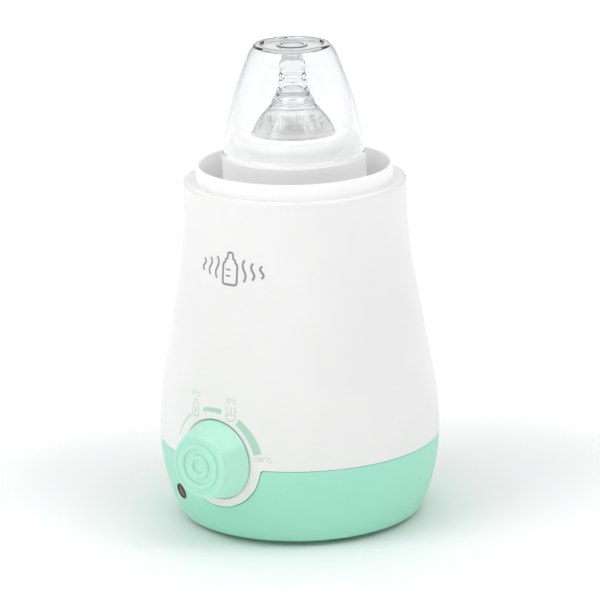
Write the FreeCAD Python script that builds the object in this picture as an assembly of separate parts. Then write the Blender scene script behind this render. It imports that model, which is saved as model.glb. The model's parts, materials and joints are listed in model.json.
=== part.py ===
"""Bottle warmer with a round water chamber, and the baby bottle that stands in it.

Millimetres, +Z up. The origin is on the resting surface, on the body's axis.
The temperature knob faces -Y. Distances called "reach" are measured from the body's axis along -Y.
"""
import FreeCAD, Part
import math
import os

# ---- driving dimensions ----
# body shells
BODY_R = 60.0            # widest radius
BELLY_Z = 38.0           # height of the widest line, and of the knob's axis
FLOOR_Z = 2.0            # underside of the lower casing
SEAM_Z = 36.0            # joint line between the two shells
SHOULDER_R = 47.2
SHOULDER_Z = 147.1
LEAN = 10.0              # the straight flank leans in by this many degrees
BELLY_UP_R = 140.0       # vertical arc from the belly into the flank
BELLY_DOWN_R = 84.0      # vertical arc from the belly to the bottom corner
TOP_R = 240.0            # vertical arc from the flank to the shoulder
CORNER_R = 3.5           # rounded bottom corner
EDGE_R = 0.8             # rounded shoulder edge
WALL = 2.2
SEAM_GAP = 0.2
LIP_R = 0.5              # rounded lip along the casing's top edge

# knob, its seat and the round tongue of the upper housing
TONGUE_R = 21.0
TONGUE_CORNER = 2.0      # rounding where the tongue meets the seam
SEAT_R = 17.6
SEAT_REACH = 57.5        # flat floor of the knob's seat
KNOB_BACK = 58.1
KNOB_R = 17.0
KNOB_SIDE = (14.35, 67.4)            # radius and reach where the tapered side ends
KNOB_GROOVE = (13.6, 68.7)           # radius and reach of the groove behind the face's rim
KNOB_FACE = 70.2         # flat rings of the face; the ridges stand out of it
RIDGE_R = (8.8, 4.0)
RIDGE_HALF = 1.15        # half a ridge's width
RIDGE_HEIGHT = 1.1
POINTER_ANGLE = 46.0     # where the pointer pip stands, counter-clockwise from the right
SPINDLE_R = 3.0
SPINDLE_END = 68.6
RUNNING_GAP = 0.05

# water chamber and heating plate
COLLAR_R = 41.7
COLLAR_WALL = 1.4
RIM_Z = 153.7
COLLAR_FOOT_Z = 146.6    # the shoulder falls to this height at the collar
COLLAR_GAP = 0.06
FLANGE_Z = (143.4, 145.0)            # flange of the chamber, under the shoulder
LEDGE_Z = 59.0           # top of the ledge round the heating plate
LEDGE_R = 30.0
PLATE_Z = 60.0           # the bottle stands at this height
PLATE_R = 29.7
STACK_Z = (51.5, 53.3, 55.3, 56.5)   # clamp ring, plate flange and seal lie between these heights
EAR_R = 41.5             # circle of the clamp screws
ELEMENT_RING_R = 20.0
ELEMENT_R = 3.2

# bottle
LIP_Z = 163.0            # top of the bottle's neck
NECK_R = 25.4
PITCH = 4.0
THREAD_HEIGHT = 1.8
RING_Z = (145.5, 158.0, 167.0)       # ring's lower edge, hood ledge and top
RING_R = 30.6
RING_HOLE_R = 17.7
HOOD_TOP_Z = 204.6

# indicator, cord inlet, casing screws, foot
LAMP_AZIMUTH = -25.2     # degrees round from the knob
LAMP_Z = 17.5
LENS_R = 2.8
BEZEL_R = 3.5
INLET_Z = 20.0
CORD_R = 3.3
POST_R = 44.0
POST_ANGLES = (30.0, 150.0, 210.0, 330.0)
EAR_ANGLES = (45.0, 135.0, 225.0, 315.0)
FOOT_R = (31.5, 37.5)

V = FreeCAD.Vector
ORIGIN = V(0, 0, 0)
UP = V(0, 0, 1)


# ---- small tools ----
def point_on(centre_r, centre_z, radius, degrees):
    """Point (r, z) of a circle in the half plane; 0 degrees points outwards."""
    turn = math.radians(degrees)
    return centre_r + radius * math.cos(turn), centre_z + radius * math.sin(turn)


def cap(radius, edge_z, pole_z):
    """Arc step from the edge of a spherical cap or dish to its pole on the axis."""
    rise = pole_z - edge_z
    sphere_r = (radius ** 2 + rise ** 2) / (2 * rise)
    half = math.asin(radius / abs(sphere_r)) / 2
    middle = (abs(sphere_r) * math.sin(half), pole_z - sphere_r * (1 - math.cos(half)))
    return middle, (0, pole_z)


def outline(start, steps):
    """Closed wire in the XZ plane. A step is a point, or a pair of points for an arc through the first."""
    edges = []
    here = V(start[0], 0, start[1])
    for step in steps:
        if isinstance(step[0], tuple):
            middle = V(step[0][0], 0, step[0][1])
            there = V(step[1][0], 0, step[1][1])
            edges.append(Part.Arc(here, middle, there).toShape())
        else:
            there = V(step[0], 0, step[1])
            edges.append(Part.LineSegment(here, there).toShape())
        here = there
    edges.append(Part.LineSegment(here, V(start[0], 0, start[1])).toShape())
    return Part.Wire(edges)


def turned(start, *steps):
    """Solid of revolution about Z from a closed outline of (r, z) points."""
    return Part.Face(outline(start, steps)).revolve(ORIGIN, UP, 360)


def rod(radius, low, high, x=0.0, y=0.0):
    return Part.makeCylinder(radius, high - low, V(x, y, low))


def tube(outer, inner, low, high, x=0.0, y=0.0):
    return rod(outer, low, high, x, y).cut(rod(inner, low - 1, high + 1, x, y))


def block(x, y, z):
    """Box from three (low, high) pairs."""
    return Part.makeBox(x[1] - x[0], y[1] - y[0], z[1] - z[0], V(x[0], y[0], z[0]))


def to_front(shape, height=BELLY_Z, azimuth=0.0):
    """Turns a shape built along +Z so that its axis points out of the front at the given height."""
    moved = shape.copy()
    moved.rotate(ORIGIN, V(1, 0, 0), 90)
    moved.translate(V(0, 0, height))
    moved.rotate(ORIGIN, UP, azimuth)
    return moved


def spun(shape, degrees):
    moved = shape.copy()
    moved.rotate(ORIGIN, UP, degrees)
    return moved


def on_circle(radius, degrees):
    turn = math.radians(degrees)
    return radius * math.cos(turn), radius * math.sin(turn)


def group(shapes):
    return Part.makeCompound(shapes)


# ---- body shells ----
def side_steps(inset):
    """Steps up the body's side, moved inwards by inset, from the bottom corner to the shoulder."""
    lean = math.radians(LEAN)
    down_r = BELLY_DOWN_R - inset
    up_r = BELLY_UP_R - inset
    top_r = TOP_R + inset
    flank_low = point_on(BODY_R - BELLY_UP_R, BELLY_Z, up_r, LEAN)
    straight = (BODY_R - SHOULDER_R - (BELLY_UP_R + TOP_R) * (1 - math.cos(lean))) / math.tan(lean)
    top_z = BELLY_Z + (BELLY_UP_R + TOP_R) * math.sin(lean) + straight
    top_centre = (SHOULDER_R + TOP_R, top_z)
    flank_high = point_on(*top_centre, top_r, 180 + LEAN)
    return [
        (point_on(BODY_R - BELLY_DOWN_R, BELLY_Z, down_r, -10), (BODY_R - inset, BELLY_Z)),
        (point_on(BODY_R - BELLY_UP_R, BELLY_Z, up_r, LEAN / 2), flank_low),
        flank_high,
        (point_on(*top_centre, top_r, 180 + LEAN / 2), (SHOULDER_R - inset, top_z)),
    ]


def corner_steps(inset, floor, radius):
    """Steps from the floor's edge round the bottom corner, tangent to the lower belly arc."""
    down_r = BELLY_DOWN_R - inset
    centre_z = floor + radius
    reach = math.sqrt((down_r - radius) ** 2 - (BELLY_Z - centre_z) ** 2)
    centre_r = BODY_R - BELLY_DOWN_R + reach
    end_angle = -math.degrees(math.atan2(BELLY_Z - centre_z, reach))
    return [
        (centre_r, floor),
        (point_on(centre_r, centre_z, radius, (end_angle - 90) / 2),
         point_on(centre_r, centre_z, radius, end_angle)),
    ]


def body_solid(inset, top):
    """The body's full outer form, moved inwards by inset, as a closed solid up to the height top."""
    floor = FLOOR_Z + inset
    steps = corner_steps(inset, floor, max(CORNER_R - inset, 1.2)) + side_steps(inset)
    steps += [(SHOULDER_R - inset, top), (0, top)]
    return turned((0, floor), *steps)


def body_shell(outer, inner, top=SHOULDER_Z - EDGE_R):
    return body_solid(outer, top).cut(body_solid(inner, top + 1))


def shoulder():
    """Rounded edge and shallow dish that close the housing round the collar."""
    opening = COLLAR_R + COLLAR_GAP
    edge_z = SHOULDER_Z - EDGE_R
    under_z = FLANGE_Z[1] + 0.1
    return turned(
        (opening, under_z),
        (SHOULDER_R - WALL / 2, under_z),
        (SHOULDER_R - WALL / 2, edge_z),
        (SHOULDER_R, edge_z),
        (point_on(SHOULDER_R - EDGE_R, edge_z, EDGE_R, 48), point_on(SHOULDER_R - EDGE_R, edge_z, EDGE_R, 96)),
        (opening, COLLAR_FOOT_Z),
    )


def front_region(gap):
    """Block over everything above the seam, with the round tongue below it, shrunk by gap."""
    line_z = SEAM_Z + gap
    drop = BELLY_Z - line_z
    radius = TONGUE_R - gap
    corner = TONGUE_CORNER
    corner_x = math.sqrt((radius + corner) ** 2 - (drop + corner) ** 2)
    end_x = radius * corner_x / (radius + corner)
    end_z = BELLY_Z - radius * (drop + corner) / (radius + corner)
    centre_z = line_z - corner
    start_angle = math.degrees(math.atan2(end_z - centre_z, end_x - corner_x))
    middle_angle = (90 + start_angle) / 2
    right = point_on(corner_x, centre_z, corner, middle_angle)
    far, top = BODY_R + 10, RIM_Z + 10
    steps = [
        (-corner_x, line_z),
        ((-right[0], right[1]), (-end_x, end_z)),
        ((0, BELLY_Z - radius), (end_x, end_z)),
        (right, (corner_x, line_z)),
        (far, line_z),
        (far, top),
        (-far, top),
    ]
    face = Part.Face(outline((-far, line_z), steps))
    front = face.extrude(V(0, -far, 0))
    return front.fuse(block((-far, far), (-1, far), (line_z, top)))


def lamp_frame(shape):
    """Places a shape built along +Z, with its origin on the outer skin, square to the skin at the lamp."""
    slope = math.degrees(math.asin((BELLY_Z - LAMP_Z) / BELLY_DOWN_R))
    skin_r = BODY_R - BELLY_DOWN_R + BELLY_DOWN_R * math.cos(math.radians(slope))
    moved = shape.copy()
    moved.rotate(ORIGIN, V(1, 0, 0), 90 + slope)
    moved.translate(V(0, -skin_r, LAMP_Z))
    moved.rotate(ORIGIN, UP, LAMP_AZIMUTH)
    return moved


def seam_skirt():
    """Locating skirt of the upper housing, just inside the lower casing's rim."""
    inner = BODY_R - 4.1
    return turned(
        (inner, SEAM_Z - 3.0),
        (BODY_R - 2.6, SEAM_Z - 3.0),
        (BODY_R - 2.6, SEAM_Z + 0.3),
        (BODY_R - 1.6, SEAM_Z + 0.3),
        (BODY_R - 1.6, SEAM_Z + 3.0),
        (BODY_R - 2.4, SEAM_Z + 4.4),
    )


def upper_housing():
    shell = body_shell(0, WALL).fuse(shoulder())
    keep = front_region(0)
    disc = to_front(rod(TONGUE_R - 0.8, SEAT_REACH - WALL, BODY_R + 5))
    pad = disc.common(body_solid(0, SHOULDER_Z - EDGE_R))
    reach = to_front(rod(TONGUE_R + 2.2, 40, BODY_R + 5))
    behind = body_shell(WALL + SEAM_GAP, WALL + 1.4).common(reach)
    inside = to_front(rod(TONGUE_R - 0.4, 40, BODY_R + 5))
    backing = body_shell(WALL - 0.3, WALL + 1.4).common(inside)
    low_only = block((-70, 70), (-70, 70), (0, SEAM_Z + 3))
    flange = behind.fuse(backing).common(low_only)
    housing = shell.common(keep).fuse([pad, seam_skirt(), flange])
    posts = []
    for angle in POST_ANGLES:
        x, y = on_circle(POST_R, angle)
        web = spun(block((POST_R, BODY_R - 1.5), (-0.9, 0.9), (SEAM_Z + 3.5, 50)), angle)
        posts.append(web.common(body_solid(WALL / 2, 60)))
        posts.append(rod(4.0, SEAM_Z - 4, 50, x, y))
    housing = housing.fuse(posts)
    for angle in POST_ANGLES:
        x, y = on_circle(POST_R, angle)
        housing = housing.cut(rod(1.5, 0, 46, x, y))
    seat = to_front(rod(SEAT_R, SEAT_REACH, BODY_R + 5))
    spindle_hole = to_front(rod(SPINDLE_R + 0.6, 40, BODY_R + 5))
    return housing.cut([seat, spindle_hole])


def is_lip(edge):
    """True for the casing's outer top edges: on the skin, along the seam or the tongue's cut-out."""
    point = edge.valueAt((edge.FirstParameter + edge.LastParameter) / 2)
    radius = math.hypot(point.x, point.y)
    skin = BODY_R - BELLY_DOWN_R + math.sqrt(BELLY_DOWN_R ** 2 - (BELLY_Z - point.z) ** 2)
    return abs(radius - skin) < 0.02 and point.z > BELLY_Z - TONGUE_R - 2


def lower_casing():
    shell = body_shell(0, WALL)
    casing = shell.cut(front_region(-SEAM_GAP))
    lip = [edge for edge in casing.Edges if is_lip(edge)]
    casing = casing.makeFillet(LIP_R, lip)
    added = []
    for angle in POST_ANGLES:
        x, y = on_circle(POST_R, angle)
        added.append(rod(4.6, FLOOR_Z + 1, SEAM_Z - 4, x, y))
    inlet_pad = to_front(rod(8.0, 53.4, 57.5), INLET_Z, 180).common(body_solid(0.5, 60))
    added.append(inlet_pad)
    for x in (-11, 11):
        added.append(block((x - 1.5, x + 1.5), (25, 37), (FLOOR_Z + 1, 6)))
    casing = casing.fuse(added)
    removed = [
        tube(FOOT_R[1], FOOT_R[0], FLOOR_Z - 1, FLOOR_Z + 1),
        to_front(rod(7.5, 56.2, 64), INLET_Z, 180),
        to_front(rod(5.0, 50, 64), INLET_Z, 180),
        lamp_frame(rod(BEZEL_R, -5, 5)),
    ]
    for angle in POST_ANGLES:
        x, y = on_circle(POST_R, angle)
        removed.append(rod(1.7, 0, SEAM_Z, x, y))
        removed.append(rod(3.4, 0, SEAM_Z - 10, x, y))
    return casing.cut(removed)


def foot_ring():
    inner, outer = FOOT_R[0] + 0.05, FOOT_R[1] - 0.05
    return turned(
        (inner, FLOOR_Z + 1),
        (inner, 0.5),
        (inner + 0.5, 0),
        (outer - 0.5, 0),
        (outer, 0.5),
        (outer, FLOOR_Z + 1),
    )


def casing_screws():
    screws = []
    for angle in POST_ANGLES:
        x, y = on_circle(POST_R, angle)
        head = rod(3.0, SEAM_Z - 12, SEAM_Z - 10, x, y)
        slot = block((x - 0.4, x + 0.4), (y - 2, y + 2), (SEAM_Z - 12.1, SEAM_Z - 11.1))
        screws.append(head.fuse(rod(1.45, SEAM_Z - 10, 45, x, y)).cut(slot))
    return group(screws)


# ---- water chamber and heating parts ----
def water_chamber():
    inner_top = COLLAR_R - COLLAR_WALL
    lip = COLLAR_WALL / 2
    pot = turned(
        (LEDGE_R, STACK_Z[3]),
        (38.7, STACK_Z[3]),
        (COLLAR_R, 141.0),
        (COLLAR_R, FLANGE_Z[0]),
        (44.4, FLANGE_Z[0]),
        (44.4, FLANGE_Z[1]),
        (COLLAR_R, FLANGE_Z[1]),
        (COLLAR_R, RIM_Z - lip),
        ((COLLAR_R - lip, RIM_Z), (inner_top, RIM_Z - lip)),
        (inner_top, 143.0),
        (36.95, LEDGE_Z + 2.5),
        ((36.2, LEDGE_Z + 0.7), (34.4, LEDGE_Z)),
        (LEDGE_R, LEDGE_Z),
    )
    hollow = turned(
        (0, LEDGE_Z),
        (34.4, LEDGE_Z),
        ((36.2, LEDGE_Z + 0.7), (36.95, LEDGE_Z + 2.5)),
        (inner_top, 143.0),
        (inner_top, RIM_Z + 1),
        (0, RIM_Z + 1),
    )
    bosses = []
    for angle in EAR_ANGLES:
        x, y = on_circle(EAR_R, angle)
        bosses.append(rod(3.2, STACK_Z[1], 66, x, y))
        bosses.append(Part.makeCone(3.2, 0.8, 6, V(x, y, 66)))
    pot = pot.fuse(bosses).cut(hollow)
    below = rod(38.7, STACK_Z[1] - 1, STACK_Z[3])
    holes = [rod(1.5, 50, 63, *on_circle(EAR_R, angle)) for angle in EAR_ANGLES]
    return pot.cut([below] + holes)


def heating_plate():
    return turned(
        (0, 57.0),
        (PLATE_R - 3, 57.0),
        (PLATE_R - 3, STACK_Z[1]),
        (34.2, STACK_Z[1]),
        (34.2, STACK_Z[2]),
        (PLATE_R, STACK_Z[2]),
        (PLATE_R, PLATE_Z - 1),
        ((PLATE_R - 0.3, PLATE_Z - 0.3), (PLATE_R - 1, PLATE_Z)),
        (0, PLATE_Z),
    )


def plate_seal():
    return tube(34.0, 30.6, STACK_Z[2], STACK_Z[3])


def clamp_ring():
    low, high = STACK_Z[0], STACK_Z[1]
    ring = rod(36.0, low, high)
    for angle in EAR_ANGLES:
        ear = spun(block((30, EAR_R), (-4, 4), (low, high)), angle)
        ring = ring.fuse([ear, rod(4.0, low, high, *on_circle(EAR_R, angle))])
    holes = [rod(1.5, low - 1, high + 1, *on_circle(EAR_R, angle)) for angle in EAR_ANGLES]
    bracket_holes = [rod(1.25, low - 1, high + 1, x, -31.0) for x in (-6, 6)]
    return ring.cut([rod(27.0, low - 1, high + 1)] + holes + bracket_holes)


def clamp_screws():
    screws = []
    for angle in EAR_ANGLES:
        x, y = on_circle(EAR_R, angle)
        shank = rod(1.45, STACK_Z[0], 62, x, y)
        head = rod(2.8, STACK_Z[0] - 1.7, STACK_Z[0], x, y)
        slot = block((x - 2, x + 2), (y - 0.4, y + 0.4), (STACK_Z[0] - 1.8, STACK_Z[0] - 0.9))
        screws.append(shank.fuse(head).cut(slot))
    return group(screws)


ELEMENT_Z = 57.0 - ELEMENT_R - RUNNING_GAP
ELEMENT_GAP = 40.0       # half the angle left open at the back of the ring
BEND_R = 6.0


def element_leg():
    """Foot of the element's leg on the +X side: its x and y."""
    x, y = on_circle(ELEMENT_RING_R, 90 - ELEMENT_GAP)
    turn = math.radians(90 - ELEMENT_GAP)
    return x - BEND_R * math.sin(turn), y + BEND_R * math.cos(turn)


def heating_element():
    """Ring-shaped sheathed heater whose two ends bend down to their terminals."""
    end = 90 - ELEMENT_GAP
    x, y = on_circle(ELEMENT_RING_R, end)
    ring = Part.makeTorus(ELEMENT_RING_R, ELEMENT_R, V(0, 0, ELEMENT_Z), UP, -180, 180, 360 - 2 * ELEMENT_GAP)
    ring.rotate(ORIGIN, UP, 90 + ELEMENT_GAP)
    turn = math.radians(end)
    along = V(-math.sin(turn), math.cos(turn), 0)
    start = V(x, y, ELEMENT_Z)
    top = start
    middle = start + along * (BEND_R * math.sin(math.pi / 4)) - UP * (BEND_R * (1 - math.cos(math.pi / 4)))
    bend_end = start + along * BEND_R - UP * BEND_R
    foot = V(bend_end.x, bend_end.y, 43.0)
    arc = Part.Arc(top, middle, bend_end).toShape()
    drop = Part.LineSegment(bend_end, foot).toShape()
    section = Part.Wire(Part.makeCircle(ELEMENT_R, start, along))
    leg = Part.Wire([arc, drop]).makePipeShell([section], True, True)
    other = leg.mirror(ORIGIN, V(1, 0, 0))
    return ring.fuse([leg, other])


def element_beads():
    x, y = element_leg()
    return group([tube(3.0, 1.15, 39.5, 43.0, side * x, y) for side in (-1, 1)])


def element_tabs():
    x, y = element_leg()
    tabs = []
    for side in (-1, 1):
        pin = rod(1.1, 36, 42.9, side * x, y)
        tab = block((side * x - 3.1, side * x + 3.1), (y - 0.4, y + 0.4), (30, 37.5))
        tabs.append(pin.fuse(tab))
    return group(tabs)


FUSE_Z = 57.0 - 2.4 - RUNNING_GAP


def along_x(radius, low, high, y, z):
    return Part.makeCylinder(radius, high - low, V(low, y, z), V(1, 0, 0))


def thermal_fuse():
    body = along_x(2.4, -8, 8, 0, FUSE_Z)
    return body.fuse([along_x(1.6, -9.5, 9.5, 0, FUSE_Z)])


def fuse_clip():
    """Spring strap under the fuse, with its two feet on the plate."""
    strap_z = FUSE_Z - 2.4
    strap = block((-2.5, 2.5), (-3.2, 3.2), (strap_z - 0.9, strap_z - 0.1))
    pieces = [strap]
    for side in (-1, 1):
        low, high = sorted((side * 2.5, side * 3.2))
        pieces.append(block((-2.5, 2.5), (low, high), (strap_z - 0.9, 57.0)))
        low, high = sorted((side * 3.2, side * 8.0))
        pieces.append(block((-2.5, 2.5), (low, high), (56.2, 57.0)))
    return pieces[0].fuse(pieces[1:])


# ---- thermostat ----
STACK_AXIS_Z = 45.5      # rivet that holds the thermostat's stack
LEG_REACH = (45.8, 47.0)
FOOT_Z = STACK_Z[0] - 1.2


def thermostat_bracket():
    leg = block((-9, 9), (-LEG_REACH[1], -LEG_REACH[0]), (29, STACK_Z[0]))
    foot = block((-9, 9), (-LEG_REACH[0], -28), (FOOT_Z, STACK_Z[0]))
    holes = [rod(1.25, 40, 60, x, -31.0) for x in (-6, 6)]
    holes.append(to_front(rod(4.0, 40, 50)))
    holes.append(to_front(rod(1.55, 40, 50), STACK_AXIS_Z))
    return leg.fuse(foot).cut(holes)


def bracket_screws():
    screws = []
    for x in (-6, 6):
        head = rod(2.3, FOOT_Z - 1.5, FOOT_Z, x, -31.0)
        screws.append(head.fuse(rod(1.2, FOOT_Z, STACK_Z[1] - 0.1, x, -31.0)))
    return group(screws)


def spindle_bushing():
    barrel = rod(4.0, LEG_REACH[0], 52.0)
    flange = rod(5.2, LEG_REACH[1], LEG_REACH[1] + 1.5)
    return to_front(barrel.fuse(flange).cut(rod(SPINDLE_R + RUNNING_GAP, 40, 60)))


def spindle_flat(low, high):
    """Block that takes the flat off the spindle's end."""
    return block((-5, 5), (1.8, 6), (low, high))


def thermostat_spindle():
    shaft = rod(SPINDLE_R, 43.5, SPINDLE_END).cut(spindle_flat(60.0, 70))
    collar = rod(4.2, 52.2, 53.2)
    tip = rod(1.4, 42.1, 43.5)
    return to_front(shaft.fuse([collar, tip]))


WASHER_REACH = ((42.0, 45.8), (38.6, 41.6), (35.8, 38.2))


def thermostat_insulators():
    washers = [to_front(tube(4.0, 1.55, low, high), STACK_AXIS_Z) for low, high in WASHER_REACH]
    return group(washers + [to_front(rod(0.9, 35.85, 38.15), 34.0)])


def contact_blades():
    """Two spring blades with their connection tails, one to each side."""
    blades = []
    for reach, side in ((41.6, 1), (38.2, -1)):
        depth = (-reach - 0.4, -reach)
        low, high = sorted((side * 2.5, side * 13.0))
        blade = block((-3, 3), depth, (29, 49.4)).fuse(block((low, high), depth, (43.5, 47.5)))
        blades.append(blade.cut(to_front(rod(1.55, 30, 50), STACK_AXIS_Z)))
    return group(blades)


def contact_points():
    return group([to_front(rod(1.5, 40.15, 41.6), 31.5), to_front(rod(1.5, 38.6, 39.95), 31.5)])


def bimetal_strip():
    strip = block((-4, 4), (-35.8, -35.0), (28, 49.4))
    return strip.cut(to_front(rod(1.55, 30, 50), STACK_AXIS_Z))


def stack_rivet():
    heads = [rod(2.2, 34.0, 35.0), rod(2.2, LEG_REACH[1], LEG_REACH[1] + 0.9)]
    return to_front(rod(1.5, 34.5, LEG_REACH[1] + 0.5).fuse(heads), STACK_AXIS_Z)


# ---- knob ----
def face_ridge(radius):
    """Steps over one round ridge of the knob's face, from outside to inside."""
    middle = KNOB_FACE + RIDGE_HEIGHT * 0.8
    return [
        (radius + RIDGE_HALF, KNOB_FACE),
        ((radius + RIDGE_HALF * 0.6, middle), (radius, KNOB_FACE + RIDGE_HEIGHT)),
        ((radius - RIDGE_HALF * 0.6, middle), (radius - RIDGE_HALF, KNOB_FACE)),
    ]


def knob():
    floor = KNOB_FACE - 2.2
    groove_r, groove_reach = KNOB_GROOVE
    steps = [(KNOB_R, KNOB_BACK + 0.4), KNOB_SIDE]
    steps.append(((groove_r + 0.25, groove_reach - 0.6), KNOB_GROOVE))
    steps.append(((groove_r - 0.1, KNOB_FACE - 0.1), (groove_r - 1.0, KNOB_FACE + 0.6)))
    steps.append(((groove_r - 1.65, KNOB_FACE + 0.42), (groove_r - 2.1, KNOB_FACE)))
    for radius in RIDGE_R:
        steps += face_ridge(radius)
    steps.append(cap(RIDGE_R[1] - RIDGE_HALF, KNOB_FACE, KNOB_FACE - 0.25))
    steps += [(0, floor), (groove_r - 1.9, floor), (KNOB_R - 2.2, KNOB_BACK)]
    drum = turned((KNOB_R - 0.4, KNOB_BACK), *steps)
    hub = rod(5.0, KNOB_BACK + 0.6, floor + 0.5)
    ribs = [spun(block((4.5, 13.2), (-0.6, 0.6), (64.2, floor + 0.2)), turn) for turn in range(45, 405, 90)]
    bore = rod(SPINDLE_R + RUNNING_GAP, KNOB_BACK, SPINDLE_END + 0.1)
    bore = bore.cut(spindle_flat(60.0, 70).translated(V(0, RUNNING_GAP, 0)))
    pip = Part.makeSphere(0.5)
    pip_reach = KNOB_BACK + 2.7
    taper = (KNOB_R - KNOB_SIDE[0]) / (KNOB_SIDE[1] - KNOB_BACK - 0.4)
    pip.translate(V(KNOB_R - (pip_reach - KNOB_BACK - 0.4) * taper, 0, pip_reach))
    shape = drum.fuse([hub] + ribs).cut(bore).fuse(pip.rotated(ORIGIN, UP, POINTER_ANGLE))
    return to_front(shape)


def knob_clip():
    """Open spring ring round the knob's hub."""
    ring = tube(5.9, 5.05, 60.5, 63.5)
    return to_front(ring.cut(block((-1.5, 1.5), (0, 8), (60, 64))))


# ---- indicator ----
def lens_bezel():
    ring = turned(
        (LENS_R, -2.4),
        (BEZEL_R - 0.02, -2.4),
        (BEZEL_R - 0.02, 0.05),
        ((BEZEL_R - 0.15, 0.25), (BEZEL_R - 0.4, 0.3)),
        (LENS_R, 0.1),
    )
    return lamp_frame(ring)


def indicator_lens():
    radius = LENS_R - 0.03
    return lamp_frame(turned((0, -4.4), (radius, -4.4), (radius, -0.1), cap(radius, -0.1, 0.3)))


def lamp_holder():
    return lamp_frame(tube(4.6, LENS_R + 0.05, -15.0, -2.9))


def neon_lamp():
    glass = turned((0, -14.4), (2.4, -14.4), (2.4, -7.0), cap(2.4, -7.0, -4.8))
    return lamp_frame(glass)


# ---- mains connection ----
def cord_gland():
    """Grommet in the rear wall, with the hole that the cord would pass."""
    body = turned(
        (CORD_R, 51.4),
        (6.0, 51.4),
        (6.0, 53.4),
        (4.98, 53.4),
        (4.98, 56.2),
        (7.2, 56.2),
        (7.2, 57.4),
        ((6.9, 58.2), (6.2, 58.5)),
        (4.1, 58.5),
        ((3.5, 58.3), (CORD_R, 57.8)),
    )
    return to_front(body, INLET_Z, 180)


BLOCK_X = (-10.0, 0.0, 10.0)
BLOCK_Y = (24.0, 38.0)
BLOCK_Z = (6.0, 18.0)
WIRE_Z = 11.0


def terminal_block():
    shape = block((-15, 15), BLOCK_Y, BLOCK_Z)
    for x in BLOCK_X:
        shape = shape.cut(Part.makeCylinder(1.6, 20, V(x, BLOCK_Y[0] - 2, WIRE_Z), V(0, 1, 0)))
        for y in (28, 34):
            shape = shape.cut(rod(1.6, WIRE_Z, BLOCK_Z[1] + 1, x, y))
    for x in (-5, 5):
        shape = shape.cut(block((x - 0.8, x + 0.8), (BLOCK_Y[0] - 1, BLOCK_Y[1] + 1), (14.5, BLOCK_Z[1] + 1)))
    return shape


def terminal_screws():
    screws = []
    for x in BLOCK_X:
        for y in (28, 34):
            slot = block((x - 0.3, x + 0.3), (y - 1.6, y + 1.6), (16.4, 17.5))
            screws.append(rod(1.5, WIRE_Z + 1.7, 17.2, x, y).cut(slot))
    return group(screws)


def lead(points, radius):
    """Wire along straight runs, each corner rounded by an arc as large as its two runs allow."""
    spots = [V(*point) for point in points]
    edges = []
    here = spots[0]
    for before, corner, after in zip(spots, spots[1:], spots[2:]):
        back = (before - corner).normalize()
        ahead = (after - corner).normalize()
        cut = 0.45 * min((before - corner).Length, (after - corner).Length)
        half = back.getAngle(ahead) / 2
        arc_r = cut * math.tan(half)
        middle = corner + (back + ahead).normalize() * (arc_r / math.sin(half) - arc_r)
        edges.append(Part.LineSegment(here, corner + back * cut).toShape())
        edges.append(Part.Arc(corner + back * cut, middle, corner + ahead * cut).toShape())
        here = corner + ahead * cut
    edges.append(Part.LineSegment(here, spots[-1]).toShape())
    section = Part.Wire(Part.makeCircle(radius, spots[0], spots[1] - spots[0]))
    return Part.Wire(edges).makePipeShell([section], True, True)


LEAD_R = 1.1
TAB_X, TAB_Y = element_leg()
LEADS = {
    # from the terminal block to the thermostat's front blade
    "live_lead": [(10, 26, 11), (10, 14, 11), (22, 0, 13), (27, -18, 22), (26, -36, 36),
                  (21, -41.8, 45.5), (13, -41.8, 45.5)],
    # from the thermostat's second blade to the element
    "switched_lead": [(-13, -38.4, 45.5), (-21, -38.4, 45.5), (-25, -28, 36), (-19, -8, 26),
                      (-11, 8, 20), (-TAB_X, TAB_Y, 20), (-TAB_X, TAB_Y, 30)],
    # from the thermal fuse to the element
    "fuse_lead": [(9.5, 0, FUSE_Z), (13.5, 0, FUSE_Z), (13.5, 0, 40), (14, 6, 26),
                  (11, 16, 19), (TAB_X, TAB_Y, 22), (TAB_X, TAB_Y, 30)],
    # from the terminal block to the thermal fuse
    "neutral_lead": [(-10, 26, 11), (-10, 16, 11), (-24, 12, 13), (-30, 4, 26), (-26, 0, 40),
                     (-13.5, 0, 46), (-13.5, 0, FUSE_Z), (-9.5, 0, FUSE_Z)],
    # from the terminal block to the clamp ring
    "earth_lead": [(0, 26, 11), (0, 15, 11), (0, 8, 24), (0, 14, 38), (0, 31, 42), (0, 31, STACK_Z[0])],
}


# ---- bottle ----
BOTTLE_R = 30.0
BOTTLE_WALL = 1.8


def thread(radius, low, turns, outwards):
    """One round-ended helical ridge on a cylinder of the given radius, a right-hand thread."""
    sign = 1 if outwards else -1
    helix = Part.makeHelix(PITCH, turns * PITCH, radius)
    root, crest, sunk = 0.95, 0.5, 0.5
    points = [
        V(radius - sign * sunk, 0, -root),
        V(radius - sign * sunk, 0, root),
        V(radius + sign * THREAD_HEIGHT, 0, crest),
        V(radius + sign * THREAD_HEIGHT, 0, -crest),
    ]
    section = Part.makePolygon(points + [points[0]])
    ridge = Part.Wire(helix.Edges).makePipeShell([section], True, True)
    ridge.translate(V(0, 0, low))
    return ridge


NECK_THREAD_Z = 149.2    # middle of the neck thread's start
THREAD_TURNS = 1.3


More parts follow.
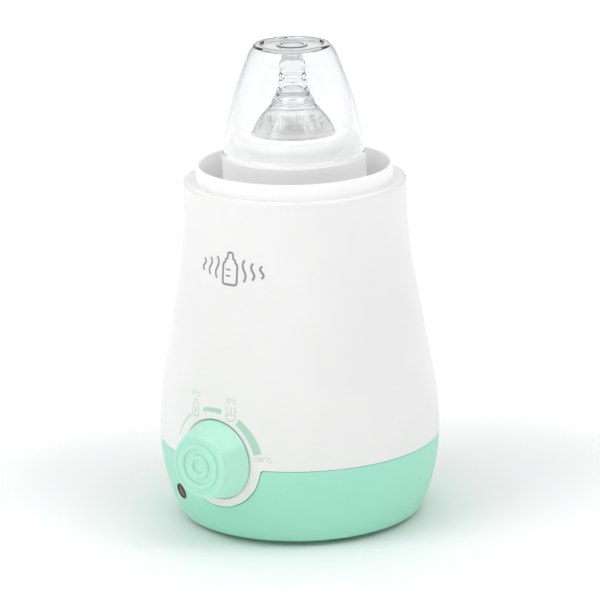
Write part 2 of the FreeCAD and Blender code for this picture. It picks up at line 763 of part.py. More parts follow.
def bottle_body():
    base, neck = PLATE_Z, NECK_R
    wall = BOTTLE_WALL
    outer = turned(
        (0, base + 1.0),
        (22.0, base + 1.0),
        (24.0, base),
        (25.6, base),
        ((28.5, base + 1.3), (29.6, base + 3.8)),
        ((28.2, 94.0), (BOTTLE_R, 124.0)),
        ((28.9, 133.0), (neck + 1.6, 139.6)),
        ((neck + 0.3, 141.2), (neck, 143.4)),
        (neck, LIP_Z - 0.5),
        (neck - 0.5, LIP_Z),
        (0, LIP_Z),
    )
    inner = turned(
        (0, base + 1.0 + wall),
        (24.0, base + 1.0 + wall),
        ((27.0, base + 3.4), (29.6 - wall, base + 5.4)),
        ((28.2 - wall, 94.0), (BOTTLE_R - wall, 123.6)),
        ((28.9 - wall, 132.0), (neck + 1.4 - wall, 138.4)),
        ((neck + 0.2 - wall, 140.4), (neck - wall, 143.4)),
        (neck - wall, LIP_Z + 1),
        (0, LIP_Z + 1),
    )
    collar = turned((neck - 0.5, 143.9), (neck + 1.5, 144.1), (neck + 1.5, 144.9), (neck - 0.5, 145.1))
    ridge = thread(neck, NECK_THREAD_Z, THREAD_TURNS, True)
    return outer.cut(inner).fuse([collar, ridge])


def screw_ring():
    low, ledge, top = RING_Z
    bore = NECK_R + THREAD_HEIGHT + 0.4
    seat_r = 25.8
    shape = turned(
        (bore + 0.5, low),
        (RING_R - 2.0, low),
        ((RING_R - 0.8, low + 0.5), (RING_R - 0.3, low + 2.0)),
        (RING_R, ledge - 0.4),
        ((RING_R - 0.14, ledge - 0.14), (RING_R - 0.4, ledge)),
        (28.3, ledge),
        (27.5, 162.2),
        ((26.3, 165.6), (23.4, top)),
        (RING_HOLE_R + 0.6, top),
        ((RING_HOLE_R + 0.15, top - 0.2), (RING_HOLE_R, top - 0.7)),
        (RING_HOLE_R, LIP_Z + 2),
        (seat_r, LIP_Z + 2),
        (seat_r, ledge - 1.2),
        (bore, ledge - 2.4),
        (bore, low + 0.5),
    )
    ridge = thread(bore, NECK_THREAD_Z - PITCH / 2, THREAD_TURNS, False)
    return shape.fuse(ridge)


def teat():
    """Silicone teat: flange under the ring, ribbed cone, narrow neck and rounded tip with one hole."""
    flange_r, throat, bore = 25.5, 17.4, 15.9
    outer = [
        (flange_r, LIP_Z),
        (flange_r, LIP_Z + 2),
        (throat, LIP_Z + 2),
        (throat, 167.9),
        ((15.5, 171.3), (12.9, 174.9)),
        (10.2, 178.0),
        ((9.5, 178.7), (9.2, 179.5)),
        (9.0, 180.4),
        ((8.6, 181.3), (7.9, 182.0)),
        (7.1, 183.1),
        (7.0, 185.2),
        ((6.5, 185.8), (6.2, 186.6)),
        (6.0, 188.9),
        (5.6, 189.3),
        (5.6, 190.7),
        (5.8, 191.1),
        ((5.4, 192.3), (5.3, 193.6)),
        ((5.3, 196.7), (4.6, 198.7)),
        ((4.1, 199.6), (3.4, 200.0)),
        ((1.9, 200.2), (0.5, 200.1)),
    ]
    inner = [
        (0.5, 199.2),
        ((3.5, 198.5), (4.4, 196.0)),
        (4.5, 190.0),
        (4.7, 187.2),
        ((5.1, 185.0), (6.0, 182.9)),
        (7.9, 180.2),
        (9.2, 177.4),
        ((13.3, 172.9), (bore, 167.6)),
        (bore, LIP_Z + 0.5),
    ]
    cone = turned((bore, LIP_Z), *outer, *inner)
    ribs = [spun(block((12.4, bore + 0.3), (-0.35, 0.35), (LIP_Z + 1, 172)), turn) for turn in range(0, 360, 30)]
    hull = turned((0, LIP_Z), (bore + 0.2, LIP_Z), (bore + 0.2, 167.6), ((13.5, 173.0), (9.3, 177.6)), (0, 177.6))
    held = group(ribs).common(hull)
    return cone.fuse(held.Solids)


def hood():
    """Clear dome that stands on the ring's ledge, with a round rim and a ridge moulded on its top."""
    ledge = RING_Z[1]
    top = HOOD_TOP_Z
    dish = top - 0.9
    wall = 1.0
    outer = [
        (30.3, ledge),
        (30.3, ledge + 1.2),
        (29.9, ledge + 1.8),
        ((26.3, 179.0), (19.9, 197.4)),
        ((18.5, 201.0), (16.4, 203.8)),
        ((15.9, top - 0.2), (15.2, top)),
        (13.9, top),
        ((13.1, top - 0.3), (12.7, dish)),
        (6.5, dish),
        ((6.3, top - 0.5), (5.9, top - 0.4)),
        (5.3, top - 0.4),
        ((4.9, top - 0.5), (4.7, dish)),
        (0, dish),
    ]
    inner = [
        (0, dish - wall),
        (12.6, dish - wall),
        ((13.1, top - 1.5), (13.7, top - 1.2)),
        (14.9, top - 1.2),
        ((15.3, top - 1.3), (15.6, top - 1.5)),
        ((17.5, 200.6), (18.9, 197.1)),
        ((25.3, 178.8), (28.95, ledge + 1.8)),
        (29.3, ledge),
    ]
    return turned(outer[0], *outer[1:], *inner)


NODES = {
    "upper_housing": upper_housing,
    "lower_casing": lower_casing,
    "foot_ring": foot_ring,
    "casing_screws": casing_screws,
    "water_chamber": water_chamber,
    "heating_plate": heating_plate,
    "plate_seal": plate_seal,
    "clamp_ring": clamp_ring,
    "clamp_screws": clamp_screws,
    "heating_element": heating_element,
    "element_beads": element_beads,
    "element_tabs": element_tabs,
    "thermal_fuse": thermal_fuse,
    "fuse_clip": fuse_clip,
    "thermostat_bracket": thermostat_bracket,
    "bracket_screws": bracket_screws,
    "spindle_bushing": spindle_bushing,
    "thermostat_insulators": thermostat_insulators,
    "contact_blades": contact_blades,
    "contact_points": contact_points,
    "bimetal_strip": bimetal_strip,
    "stack_rivet": stack_rivet,
    "lens_bezel": lens_bezel,
    "indicator_lens": indicator_lens,
    "lamp_holder": lamp_holder,
    "neon_lamp": neon_lamp,
    "cord_gland": cord_gland,
    "terminal_block": terminal_block,
    "terminal_screws": terminal_screws,
    "thermostat_spindle": thermostat_spindle,
    "knob": knob,
    "knob_clip": knob_clip,
    "bottle_body": bottle_body,
    "screw_ring": screw_ring,
    "teat": teat,
    "hood": hood,
}


def plain(shape):
    """The shape itself, or its one solid where a boolean wrapped that in a compound."""
    return shape.Solids[0] if len(shape.Solids) == 1 else shape


def main():
    os.makedirs("parts", exist_ok=True)
    for name, make in NODES.items():
        plain(make()).exportStep(f"parts/{name}.step")
    for name, points in LEADS.items():
        plain(lead(points, LEAD_R)).exportStep(f"parts/{name}.step")


main()
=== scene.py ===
"""Looks of the bottle warmer: materials, printed marks, floor, studio light and camera.

Metres, +Z up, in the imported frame. The temperature knob faces -Y.
"""
import bmesh
import bpy
import json
import math
from mathutils import Matrix, Vector
from mathutils.bvhtree import BVHTree


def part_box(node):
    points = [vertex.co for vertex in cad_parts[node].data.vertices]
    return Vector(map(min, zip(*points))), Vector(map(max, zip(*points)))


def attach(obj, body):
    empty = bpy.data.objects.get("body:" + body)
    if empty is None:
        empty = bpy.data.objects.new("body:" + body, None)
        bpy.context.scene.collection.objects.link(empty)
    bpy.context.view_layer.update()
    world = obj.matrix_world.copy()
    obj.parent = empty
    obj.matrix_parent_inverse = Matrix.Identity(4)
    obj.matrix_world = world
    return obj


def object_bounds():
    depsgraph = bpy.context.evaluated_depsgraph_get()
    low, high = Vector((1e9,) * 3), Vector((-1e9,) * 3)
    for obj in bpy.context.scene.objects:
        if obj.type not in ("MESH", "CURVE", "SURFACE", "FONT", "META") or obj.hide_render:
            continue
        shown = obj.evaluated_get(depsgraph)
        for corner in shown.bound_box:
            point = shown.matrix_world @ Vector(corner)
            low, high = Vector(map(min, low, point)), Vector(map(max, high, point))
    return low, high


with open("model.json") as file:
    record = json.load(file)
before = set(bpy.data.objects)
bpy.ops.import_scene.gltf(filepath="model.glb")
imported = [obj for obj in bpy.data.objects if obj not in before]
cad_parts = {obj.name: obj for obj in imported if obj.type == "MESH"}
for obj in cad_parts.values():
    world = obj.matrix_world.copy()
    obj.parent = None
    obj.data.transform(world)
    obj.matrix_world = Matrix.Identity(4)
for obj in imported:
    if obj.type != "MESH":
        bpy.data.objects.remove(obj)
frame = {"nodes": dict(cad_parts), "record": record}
CAD_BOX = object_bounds()
MM = 0.001

# ---- camera ----
AZIMUTH = 36.9           # degrees, from -Y towards +X
ELEVATION = 15.75        # degrees
ROLL = 1.205             # degrees, turns the picture anticlockwise
DISTANCE = 1.5043
AIM = Vector((0.0009, 0.0007, 0.0931))
LENS = 211.6             # mm
SENSOR = 36              # mm

# ---- floor and light ----
FLOOR_SIDE = 12
FLOOR_GLOW = 0.42
GLOW_START, GLOW_FULL = 0.04, 0.32       # distances from the object's axis
ROOM_COLOUR = (0.97, 0.99, 1, 1)
ROOM_BRIGHT_WAY = (-0.58, 0.77, 0.27)    # behind the object, seen from the camera
ROOM_DIM, ROOM_BRIGHT = 0.36, 0.66
BRIGHT_START = 0.4                       # how far a direction faces the bright way, 1 at most
LIGHTS_AIM = Vector((0, 0, 0.09))
SOFT_BOXES = (                           # name, side, watts, place
    ("key", 0.9, 8.6, (-0.5, -1.1, 1.3)),
    ("top", 1.2, 5.5, (0, 0, 1.6)),
    ("front", 0.8, 0.6, (0.3, -1.4, 0.5)),
    ("right", 0.9, 7.2, (1.1, 0.1, 1.4)),
)

# ---- surfaces ----
NOISE_LOW, NOISE_HIGH = 0.35, 0.65       # where most of a noise texture's values lie
COLOUR_PATCH = 30 * MM
GRAIN = 0.35 * MM
BRUSH_MARK = 0.3 * MM
BRUSH_DEPTH = 0.004 * MM
STRIPE_SCALE = 0.11 / MM                 # of the wave texture: a stripe about every 6 mm
VEIL = 0.98                              # share of a lamp's light that passes a clear wall
TEAT_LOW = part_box("teat")[0].z
TEAT_CLOUD = (TEAT_LOW + 3 * MM, TEAT_LOW + 11 * MM, 0.55)

# ---- prints ----
PRINT_PROUD = 0.04 * MM
PRINT_DEPTH = 0.09 * MM
GRID = 0.7 * MM                          # longest edge of a printed mark's mesh
RAY_START = 0.01                         # distance in front of the object
RAY_REACH = 1.6                          # a ray towards the axis starts this many radii out

# ---- dial, in mm from the knob's axis ----
KNOB_Z = (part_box("knob")[0].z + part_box("knob")[1].z) / 2
BAND_R = 22.3
BAND_STEP = 2                            # degrees
BANDS = (                                # name, inner edge as (degrees, radius)
    ("dial_band_hot", ((13.5, 18.9), (36, 19.0), (58.5, 19.6))),
    ("dial_band_warm", ((82, 20.3), (107.5, 20.7))),
    ("dial_band_low", ((129.5, 21.6), (163, 21.9))),
)
BOTTLE_PLACE = (-11.1, 20.6)
BOTTLE_LINE, LEVEL_LINE = 0.45, 0.8
BOWL_PLACE = (7.7, 20.7)
BOWL_LINE, STEAM_LINE = 0.4, 0.45
STEAM_SWAY = 0.25
DIAL_NUMBERS = (                         # name, text, width, height, x, z
    ("dial_number_37", "37°C", 5.0, 2.3, -11.5, 26.3),
    ("dial_number_70", "70°C", 5.3, 2.3, 7.3, 26.1),
    ("dial_number_100", "100°C", 6.9, 2.2, 22.3, 2.9),
)

# ---- sign on the front, in mm ----
SIGN_PLACE = (2.0, 118.6)
SIGN_SCALE = 1.95
SIGN_LINE, SIGN_LEVEL_LINE = 0.95, 0.7
SIGN_LEVELS = (-3.2, -0.6)
WARMTH_LINES = ((6.8, 4.6), (10.6, 3.6), (14.4, 2.6))    # distance from the middle, half height
WARMTH_DROP = 0.4                        # of the lines' middle below the bottle's
WARMTH_SWAY = 0.75

# ---- level scale on the bottle, in mm ----
SCALE_START = 6.0
SCALE_STEP = 6.2
SCALE_LINES = 10
SCALE_LINE = 0.45
SHORT_HALF, LONG_HALF = 2.6, 4.5         # half lengths of the lines
SCALE_ML = 15                            # millilitres between lines
NUMBER_X = 9.5
NUMBER_WIDTHS = {2: 4.6, 3: 6.2}         # by how many digits there are
NUMBER_HEIGHT = 2.6


# ---------------------------------------------------------------- colours and node helpers
def linear(*rgb):
    """Linear colour with alpha from 0-255 display values."""
    def one(value):
        value /= 255
        return value / 12.92 if value <= 0.04045 else ((value + 0.055) / 1.055) ** 2.4
    return [one(value) for value in rgb] + [1.0]


def link(tree, out, into):
    tree.links.new(out, into)


def noise(tree, size, detail=2.0, stretch=(1, 1, 1)):
    """Noise value whose features have the given size in metres."""
    coords = tree.nodes.new("ShaderNodeTexCoord")
    mapping = tree.nodes.new("ShaderNodeMapping")
    mapping.inputs["Scale"].default_value = [axis / size for axis in stretch]
    texture = tree.nodes.new("ShaderNodeTexNoise")
    texture.inputs["Scale"].default_value = 1.0
    texture.inputs["Detail"].default_value = detail
    link(tree, coords.outputs["Object"], mapping.inputs["Vector"])
    link(tree, mapping.outputs["Vector"], texture.inputs["Vector"])
    return texture.outputs["Fac"]


def ramp(tree, value, low, high, start=NOISE_LOW, end=NOISE_HIGH):
    """Maps a value's range from start to end onto low to high, and holds it there outside."""
    node = tree.nodes.new("ShaderNodeMapRange")
    node.inputs["From Min"].default_value = start
    node.inputs["From Max"].default_value = end
    node.inputs["To Min"].default_value = low
    node.inputs["To Max"].default_value = high
    link(tree, value, node.inputs["Value"])
    return node.outputs["Result"]


def mixed(tree, value, first, second):
    """Colour between two linear colours."""
    node = tree.nodes.new("ShaderNodeMix")
    node.data_type = "RGBA"
    link(tree, value, node.inputs["Factor"])
    for name, colour in (("A", first), ("B", second)):
        socket = [s for s in node.inputs if s.name == name and s.type == "RGBA"][0]
        socket.default_value = colour
    return [s for s in node.outputs if s.type == "RGBA"][0]


def bump(tree, value, height):
    """Normal from a height value, whose full range is the given height in metres."""
    node = tree.nodes.new("ShaderNodeBump")
    node.inputs["Strength"].default_value = 1.0
    node.inputs["Distance"].default_value = height
    link(tree, value, node.inputs["Height"])
    return node.outputs["Normal"]


def shaded(name, colour, rough, tint=0.012, depth=0.0012 * MM, **sockets):
    """Principled material whose colour, roughness and surface vary a little, as real ones do."""
    material = bpy.data.materials.new(name)
    material.use_nodes = True
    tree = material.node_tree
    shader = tree.nodes["Principled BSDF"]
    broad = noise(tree, COLOUR_PATCH)
    fine = noise(tree, GRAIN, 3.0)
    dark = [channel * (1 - tint) for channel in colour[:3]] + [1.0]
    light = [min(1.0, channel * (1 + tint)) for channel in colour[:3]] + [1.0]
    link(tree, mixed(tree, ramp(tree, broad, 0, 1), dark, light), shader.inputs["Base Color"])
    link(tree, ramp(tree, fine, rough * 0.9, rough * 1.1), shader.inputs["Roughness"])
    link(tree, bump(tree, fine, depth), shader.inputs["Normal"])
    for key, value in sockets.items():
        shader.inputs[key.replace("_", " ")].default_value = value
    return material


# ---------------------------------------------------------------- finishes, one per material slot
def brushed(name, colour, rough, stretch):
    """Metal with fine marks drawn out along one direction."""
    material = shaded(name, colour, rough, Metallic=1.0)
    tree = material.node_tree
    shader = tree.nodes["Principled BSDF"]
    marks = noise(tree, BRUSH_MARK, stretch=stretch)
    link(tree, ramp(tree, marks, rough * 0.7, rough * 1.4), shader.inputs["Roughness"])
    link(tree, bump(tree, marks, BRUSH_DEPTH), shader.inputs["Normal"])
    return material


def earth_lead():
    """Green insulation with yellow stripes."""
    green, yellow = linear(70, 140, 60), linear(214, 200, 60)
    material = shaded("earth_lead_pvc", green, 0.45)
    tree = material.node_tree
    shader = tree.nodes["Principled BSDF"]
    coords = tree.nodes.new("ShaderNodeTexCoord")
    wave = tree.nodes.new("ShaderNodeTexWave")
    wave.wave_type = "BANDS"
    wave.bands_direction = "DIAGONAL"
    wave.inputs["Scale"].default_value = STRIPE_SCALE
    link(tree, coords.outputs["Object"], wave.inputs["Vector"])
    stripes = ramp(tree, wave.outputs["Fac"], 0, 1, 0.48, 0.52)
    link(tree, mixed(tree, stripes, green, yellow), shader.inputs["Base Color"])
    return material


def clear(name, colour, rough, ior, cloud=None):
    """Clear plastic. Light from lamps passes straight through it, dimmed a little.

    cloud is (low, high, share): only that share of the light passes below low, and all above high.
    """
    material = shaded(name, colour, rough, tint=0.004, depth=0.0004 * MM, Transmission_Weight=1.0, IOR=ior)
    tree = material.node_tree
    principled = tree.nodes["Principled BSDF"]
    if cloud:
        low, high, share = cloud
        apart = tree.nodes.new("ShaderNodeSeparateXYZ")
        link(tree, tree.nodes.new("ShaderNodeTexCoord").outputs["Object"], apart.inputs[0])
        passed = ramp(tree, apart.outputs["Z"], share, 1.0, low, high)
        link(tree, passed, principled.inputs["Transmission Weight"])
    path = tree.nodes.new("ShaderNodeLightPath")
    through = tree.nodes.new("ShaderNodeBsdfTransparent")
    through.inputs["Color"].default_value = (VEIL, VEIL, VEIL, 1)
    mix = tree.nodes.new("ShaderNodeMixShader")
    link(tree, path.outputs["Is Shadow Ray"], mix.inputs[0])
    link(tree, principled.outputs["BSDF"], mix.inputs[1])
    link(tree, through.outputs["BSDF"], mix.inputs[2])
    link(tree, mix.outputs["Shader"], tree.nodes["Material Output"].inputs["Surface"])
    return material


# Painted light: the chamber's and the ring's white plastic glow a little, which lifts the shade inside the
# chamber and in the gap round the ring.
PAINTED_GLOW = {"Emission_Color": (1, 1, 1, 1), "Emission_Strength": 0.13}

FINISHES = {
    "white_shell": shaded("white_shell_plastic", linear(246, 246, 244), 0.34),
    "mint_shell": shaded("mint_shell_plastic", linear(171, 238, 214), 0.36),
    # the chamber glows with painted light, which lifts the shade inside it
    "white_chamber": shaded("white_chamber_plastic", linear(245, 245, 244), 0.42, **PAINTED_GLOW),
    "foot_rubber": shaded("foot_rubber", linear(172, 176, 175), 0.7, tint=0.05, depth=0.004 * MM),
    "seal_silicone": shaded("seal_silicone", linear(214, 214, 208), 0.5),
    "plate_aluminium": brushed("plate_aluminium", linear(214, 215, 217), 0.3, (1, 0.06, 1)),
    "bright_steel": brushed("bright_steel", linear(206, 206, 204), 0.28, (1, 1, 0.1)),
    "sheath_steel": brushed("sheath_steel", linear(150, 146, 140), 0.45, (1, 1, 0.3)),
    "ceramic": shaded("ceramic", linear(236, 230, 218), 0.55, tint=0.04, depth=0.004 * MM),
    "brass": brushed("brass", linear(214, 178, 98), 0.3, (1, 1, 0.1)),
    "silver_contact": brushed("silver_contact", linear(226, 226, 224), 0.22, (1, 1, 0.5)),
    "lens_red": shaded("lens_red", linear(152, 44, 36), 0.2, tint=0.05, IOR=1.5, Transmission_Weight=0.35),
    "black_trim": shaded("black_trim", linear(34, 34, 35), 0.4, tint=0.08),
    "lamp_glass": clear("lamp_glass", linear(244, 240, 236), 0.04, 1.5),
    "block_nylon": shaded("block_nylon", linear(232, 230, 222), 0.5, tint=0.02),
    "lead_brown": shaded("lead_brown_pvc", linear(106, 66, 44), 0.45, tint=0.04),
    "lead_blue": shaded("lead_blue_pvc", linear(48, 96, 168), 0.45, tint=0.04),
    "lead_earth": earth_lead(),
    "lead_white": shaded("lead_white_pvc", linear(232, 232, 228), 0.45),
    "bottle_clear": clear("bottle_clear", linear(253, 254, 254), 0.1, 1.49),
    # the ring glows with painted light, which lifts the shade in the gap round it
    "ring_white": shaded("ring_white_plastic", linear(233, 233, 232), 0.38, **PAINTED_GLOW),
    "teat_silicone": clear("teat_silicone", linear(254, 254, 254), 0.05, 1.41, TEAT_CLOUD),
    "hood_clear": clear("hood_clear", linear(254, 255, 255), 0.02, 1.49),
}

# Painted light: the knob has a paler copy of the casing's mint, which stands for the brighter light on it;
# it is also a little glossier.
KNOB_LIT_FINISH = shaded("mint_knob_painted_light", linear(188, 243, 223), 0.3)


def finish_nodes():
    for part in frame["record"]["subparts"]:
        node = frame["nodes"][part["node"]]
        # the knob takes the paler mint that paints the brighter light on it
        finish = KNOB_LIT_FINISH if part["node"] == "knob" else FINISHES[part["material_slot"]]
        node.data.materials.clear()
        node.data.materials.append(finish)


# ---------------------------------------------------------------- printed marks
def skin_of(node):
    """Search tree of a CAD node's mesh."""
    mesh = frame["nodes"][node].data
    return BVHTree.FromPolygons([v.co for v in mesh.vertices], [p.vertices for p in mesh.polygons])


def onto_front(skin):
    """Lays a flat point (x, z) on the skin's front, a print's thickness proud."""
    def lay(x, z):
        hit = skin.ray_cast(Vector((x, CAD_BOX[0].y - RAY_START, z)), Vector((0, 1, 0)))[0]
        return hit - Vector((0, PRINT_PROUD, 0))
    return lay


def round_front(skin, radius):
    """Lays a flat point (distance round, z) on a turned part's -Y side, a print's thickness proud."""
    def lay(along, z):
        turn = along / radius - math.pi / 2
        out = Vector((math.cos(turn), math.sin(turn), 0))
        hit = skin.ray_cast(out * radius * RAY_REACH + Vector((0, 0, z)), -out)[0]
        return hit + out * PRINT_PROUD
    return lay


def printed(name, material, shapes, lay, body="base"):
    """One thin print from flat shapes. A shape is a list of faces, and a face is a list of (x, z)."""
    work = bmesh.new()
    for faces in shapes:
        for face in faces:
            work.faces.new([work.verts.new((x, 0, z)) for x, z in face])
    bmesh.ops.remove_doubles(work, verts=work.verts, dist=1e-6)
    while True:
        long_edges = [edge for edge in work.edges if edge.calc_length() > GRID]
        if not long_edges:
            break
        bmesh.ops.subdivide_edges(work, edges=long_edges, cuts=1, use_grid_fill=True)
    for vert in work.verts:
        vert.co = lay(vert.co.x, vert.co.z)
    bmesh.ops.recalc_face_normals(work, faces=work.faces)
    middle = Vector((0, 0, sum(v.co.z for v in work.verts) / len(work.verts)))
    if sum(face.normal.dot(face.calc_center_median() - middle) for face in work.faces) < 0:
        bmesh.ops.reverse_faces(work, faces=work.faces)
    mesh = bpy.data.meshes.new(name)
    work.to_mesh(mesh)
    work.free()
    mesh.materials.append(material)
    piece = bpy.data.objects.new(name, mesh)
    bpy.context.scene.collection.objects.link(piece)
    thick = piece.modifiers.new("thickness", "SOLIDIFY")
    thick.thickness = PRINT_DEPTH
    thick.offset = -1
    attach(piece, body)


def dial_point(radius, degrees):
    turn = math.radians(degrees)
    return radius * math.cos(turn), KNOB_Z + radius * math.sin(turn)


def dial_wedge(inner_edge):
    """Faces of a band round the knob's axis, from the (degrees, radius in mm) points of its inner edge."""
    faces = []
    for (start, r_start), (end, r_end) in zip(inner_edge, inner_edge[1:]):
        steps = max(2, round((end - start) / BAND_STEP))
        for i in range(steps):
            a, b = (start + (end - start) * (i + k) / steps for k in (0, 1))
            ra, rb = (r_start + (r_end - r_start) * (i + k) / steps for k in (0, 1))
            faces.append([dial_point(ra * MM, a), dial_point(BAND_R * MM, a),
                          dial_point(BAND_R * MM, b), dial_point(rb * MM, b)])
    return faces


def stroke(points, width, closed=False):
    """Faces of a ribbon of the given width in mm, along flat points in metres."""
    count = len(points)
    left, right = [], []
    for i in range(count):
        before = points[(i - 1) % count] if closed or i else points[0]
        after = points[(i + 1) % count] if closed or i < count - 1 else points[-1]
        dx, dz = after[0] - before[0], after[1] - before[1]
        size = math.hypot(dx, dz) or 1.0
        nx, nz = -dz / size * width * MM / 2, dx / size * width * MM / 2
        left.append((points[i][0] + nx, points[i][1] + nz))
        right.append((points[i][0] - nx, points[i][1] - nz))
    last = count if closed else count - 1
    return [
        [left[i], right[i], right[(i + 1) % count], left[(i + 1) % count]]
        for i in range(last)
    ]


def placed(points, x, z):
    """Flat points in mm moved to a place in metres."""
    return [(x + px * MM, z + pz * MM) for px, pz in points]


def arc_points(cx, cz, radius, start, end, steps):
    return [
        (cx + radius * math.cos(math.radians(start + (end - start) * i / steps)),
         cz + radius * math.sin(math.radians(start + (end - start) * i / steps)))
        for i in range(steps + 1)
    ]


def number_faces(text, width, height, x, z):
    """Faces of a number of the given size in mm, centred on a place, from the built-in font."""
    curve = bpy.data.curves.new("number", "FONT")
    curve.body = text
    curve.resolution_u = 3
    holder = bpy.data.objects.new("number", curve)
    bpy.context.scene.collection.objects.link(holder)
    bpy.context.view_layer.update()
    mesh = bpy.data.meshes.new_from_object(holder)
    low = [min(v.co[axis] for v in mesh.vertices) for axis in (0, 1)]
    high = [max(v.co[axis] for v in mesh.vertices) for axis in (0, 1)]
    grow_x, grow_z = width * MM / (high[0] - low[0]), height * MM / (high[1] - low[1])
    faces = [
        [(x + (mesh.vertices[v].co.x - (low[0] + high[0]) / 2) * grow_x,
          z + (mesh.vertices[v].co.y - (low[1] + high[1]) / 2) * grow_z) for v in face.vertices]
        for face in mesh.polygons
    ]
    bpy.data.objects.remove(holder)
    bpy.data.meshes.remove(mesh)
    bpy.data.curves.remove(curve)
    return faces


def bottle_outline(scale=1.0):
    """Outline of an upright baby bottle round the origin, 6.9 high and 3.6 wide at scale 1; in mm."""
    half = (
        arc_points(1.2, -2.9, 0.6, -90, 0, 4)
        + arc_points(1.2, 0.6, 0.6, 0, 70, 4)
        + [(1.25, 1.3), (1.25, 1.9), (0.75, 2.0)]
        + arc_points(0.25, 2.95, 0.42, -20, 90, 4)
    )
    return [(x * scale, z * scale) for x, z in half + [(-x, z) for x, z in reversed(half)]]


def wave_line(x, low, high, sway, steps):
    """Upright wavy line of one wave."""
    return [
        (x + sway * math.sin(2 * math.pi * i / steps), low + (high - low) * i / steps)
        for i in range(steps + 1)
    ]


def bottle_sign(x, z):
    """Baby bottle with a thick line for its level."""
    outline = placed(bottle_outline(), x, z)
    level = placed([(0, -2.4), (0, 0.2)], x, z)
    return [stroke(outline, BOTTLE_LINE, True), stroke(level, LEVEL_LINE)]


def bowl_sign(x, z):
    """Round bowl with three lines of steam."""
    bowl = placed(arc_points(0, -0.5, 2.4, 180, 360, 14), x, z)
    rim = placed([(-2.4, -0.3), (2.4, -0.3)], x, z)
    shapes = [stroke(bowl, BOWL_LINE), stroke(rim, BOWL_LINE)]
    for along in (-1.9, 0, 1.9):
        steam = placed(wave_line(along, 0.3, 3.1, STEAM_SWAY, 10), x, z)
        shapes.append(stroke(steam, STEAM_LINE))
    return shapes


def dial_marks():
    """Bands, signs and numbers round the knob."""
    lay = onto_front(skin_of("upper_housing"))
    ink = shaded("dial_ink", linear(186, 224, 207), 0.45)
    faint = shaded("dial_ink_faint", linear(208, 222, 215), 0.45)
    for name, inner_edge in BANDS:
        printed(name, ink, [dial_wedge(inner_edge)], lay)
    for name, sign, (x, above) in (
        ("dial_bottle_sign", bottle_sign, BOTTLE_PLACE),
        ("dial_bowl_sign", bowl_sign, BOWL_PLACE),
    ):
        printed(name, faint, sign(x * MM, KNOB_Z + above * MM), lay)
    for name, words, width, height, x, above in DIAL_NUMBERS:
        number = number_faces(words, width, height, x * MM, KNOB_Z + above * MM)
        printed(name, faint, [number], lay)


def front_sign():
    """Plain picture of a baby bottle between rising warmth lines, high on the housing's front."""
    grey = shaded("sign_ink", linear(150, 151, 152), 0.45)
    x, z = (place * MM for place in SIGN_PLACE)
    shapes = [stroke(placed(bottle_outline(SIGN_SCALE), x, z), SIGN_LINE, True)]
    for height in SIGN_LEVELS:
        level = placed([(-2.0, height), (0.2, height)], x, z)
        shapes.append(stroke(level, SIGN_LEVEL_LINE))
    for side in (-1, 1):
        for away, half in WARMTH_LINES:
            line = wave_line(side * away, -half - WARMTH_DROP, half - WARMTH_DROP, side * WARMTH_SWAY, 16)
            shapes.append(stroke(placed(line, x, z), SIGN_LINE))
    printed("front_sign", grey, shapes, onto_front(skin_of("upper_housing")))


def graduations():
    """Level lines on the bottle's front, and a number beside every second one."""
    grey = shaded("graduation_ink", linear(150, 154, 156), 0.45)
    low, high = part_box("bottle_body")
    shapes = []
    for step in range(1, SCALE_LINES + 1):
        z = low.z + (SCALE_START + SCALE_STEP * step) * MM
        numbered = step % 2 == 0
        half = (LONG_HALF if numbered else SHORT_HALF) * MM
        shapes.append(stroke([(-half, z), (half, z)], SCALE_LINE))
        if numbered:
            level = str(step * SCALE_ML)
            shapes.append(number_faces(level, NUMBER_WIDTHS[len(level)], NUMBER_HEIGHT, NUMBER_X * MM, z))
    lay = round_front(skin_of("bottle_body"), high.x)
    printed("bottle_scale", grey, shapes, lay, "bottle")


# ---------------------------------------------------------------- floor, light and camera
def floor():
    """White floor that glows a little away from the object, which makes a plain white background."""
    bpy.ops.mesh.primitive_plane_add(size=FLOOR_SIDE, location=(0, 0, 0))
    plane = bpy.context.object
    plane.name = "floor"
    material = shaded("floor_white", linear(250, 250, 250), 0.6, tint=0.002, Emission_Color=(1, 1, 1, 1))
    tree = material.node_tree
    away = tree.nodes.new("ShaderNodeVectorMath")
    away.operation = "LENGTH"
    link(tree, tree.nodes.new("ShaderNodeTexCoord").outputs["Object"], away.inputs[0])
    glow = ramp(tree, away.outputs["Value"], 0, FLOOR_GLOW, GLOW_START, GLOW_FULL)
    link(tree, glow, tree.nodes["Principled BSDF"].inputs["Emission Strength"])
    plane.data.materials.append(material)


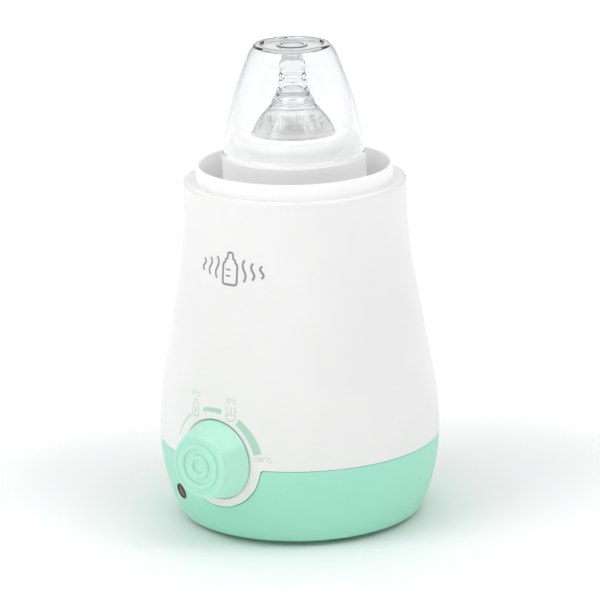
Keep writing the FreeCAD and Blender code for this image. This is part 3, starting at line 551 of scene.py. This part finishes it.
def soft_box(name, side, watts, place):
    """Square lamp aimed at the middle of the object."""
    data = bpy.data.lights.new(name, "AREA")
    data.size = side
    data.energy = watts
    light = bpy.data.objects.new(name, data)
    light.location = place
    light.rotation_euler = (LIGHTS_AIM - Vector(place)).to_track_quat("-Z", "Y").to_euler()
    bpy.context.scene.collection.objects.link(light)


def studio():
    """White room that is brighter behind the object, with soft boxes above, in front and on the right."""
    world = bpy.data.worlds.new("studio")
    bpy.context.scene.world = world
    world.use_nodes = True
    tree = world.node_tree
    background = tree.nodes["Background"]
    background.inputs["Color"].default_value = ROOM_COLOUR
    facing = tree.nodes.new("ShaderNodeVectorMath")
    facing.operation = "DOT_PRODUCT"
    facing.inputs[1].default_value = Vector(ROOM_BRIGHT_WAY).normalized()
    link(tree, tree.nodes.new("ShaderNodeTexCoord").outputs["Generated"], facing.inputs[0])
    strength = ramp(tree, facing.outputs["Value"], ROOM_DIM, ROOM_BRIGHT, BRIGHT_START, 1.0)
    link(tree, strength, background.inputs["Strength"])
    for box in SOFT_BOXES:
        soft_box(*box)


def camera():
    """Camera at the photograph's angle."""
    turn, rise = math.radians(AZIMUTH), math.radians(ELEVATION)
    back = Vector((math.sin(turn) * math.cos(rise), -math.cos(turn) * math.cos(rise), math.sin(rise)))
    right = Vector((math.cos(turn), math.sin(turn), 0))
    up = back.cross(right)
    roll = math.radians(ROLL)
    rolled_right = right * math.cos(roll) - up * math.sin(roll)
    rolled_up = right * math.sin(roll) + up * math.cos(roll)
    data = bpy.data.cameras.new("camera")
    data.lens = LENS
    data.sensor_width = SENSOR
    data.clip_start = 0.1
    holder = bpy.data.objects.new("camera", data)
    turned = Matrix((rolled_right, rolled_up, back)).transposed().to_4x4()
    holder.matrix_world = Matrix.Translation(AIM + back * DISTANCE) @ turned
    bpy.context.scene.collection.objects.link(holder)
    bpy.context.scene.camera = holder


finish_nodes()
dial_marks()
front_sign()
graduations()
floor()
studio()
camera()
bpy.context.scene.view_settings.view_transform = "Standard"
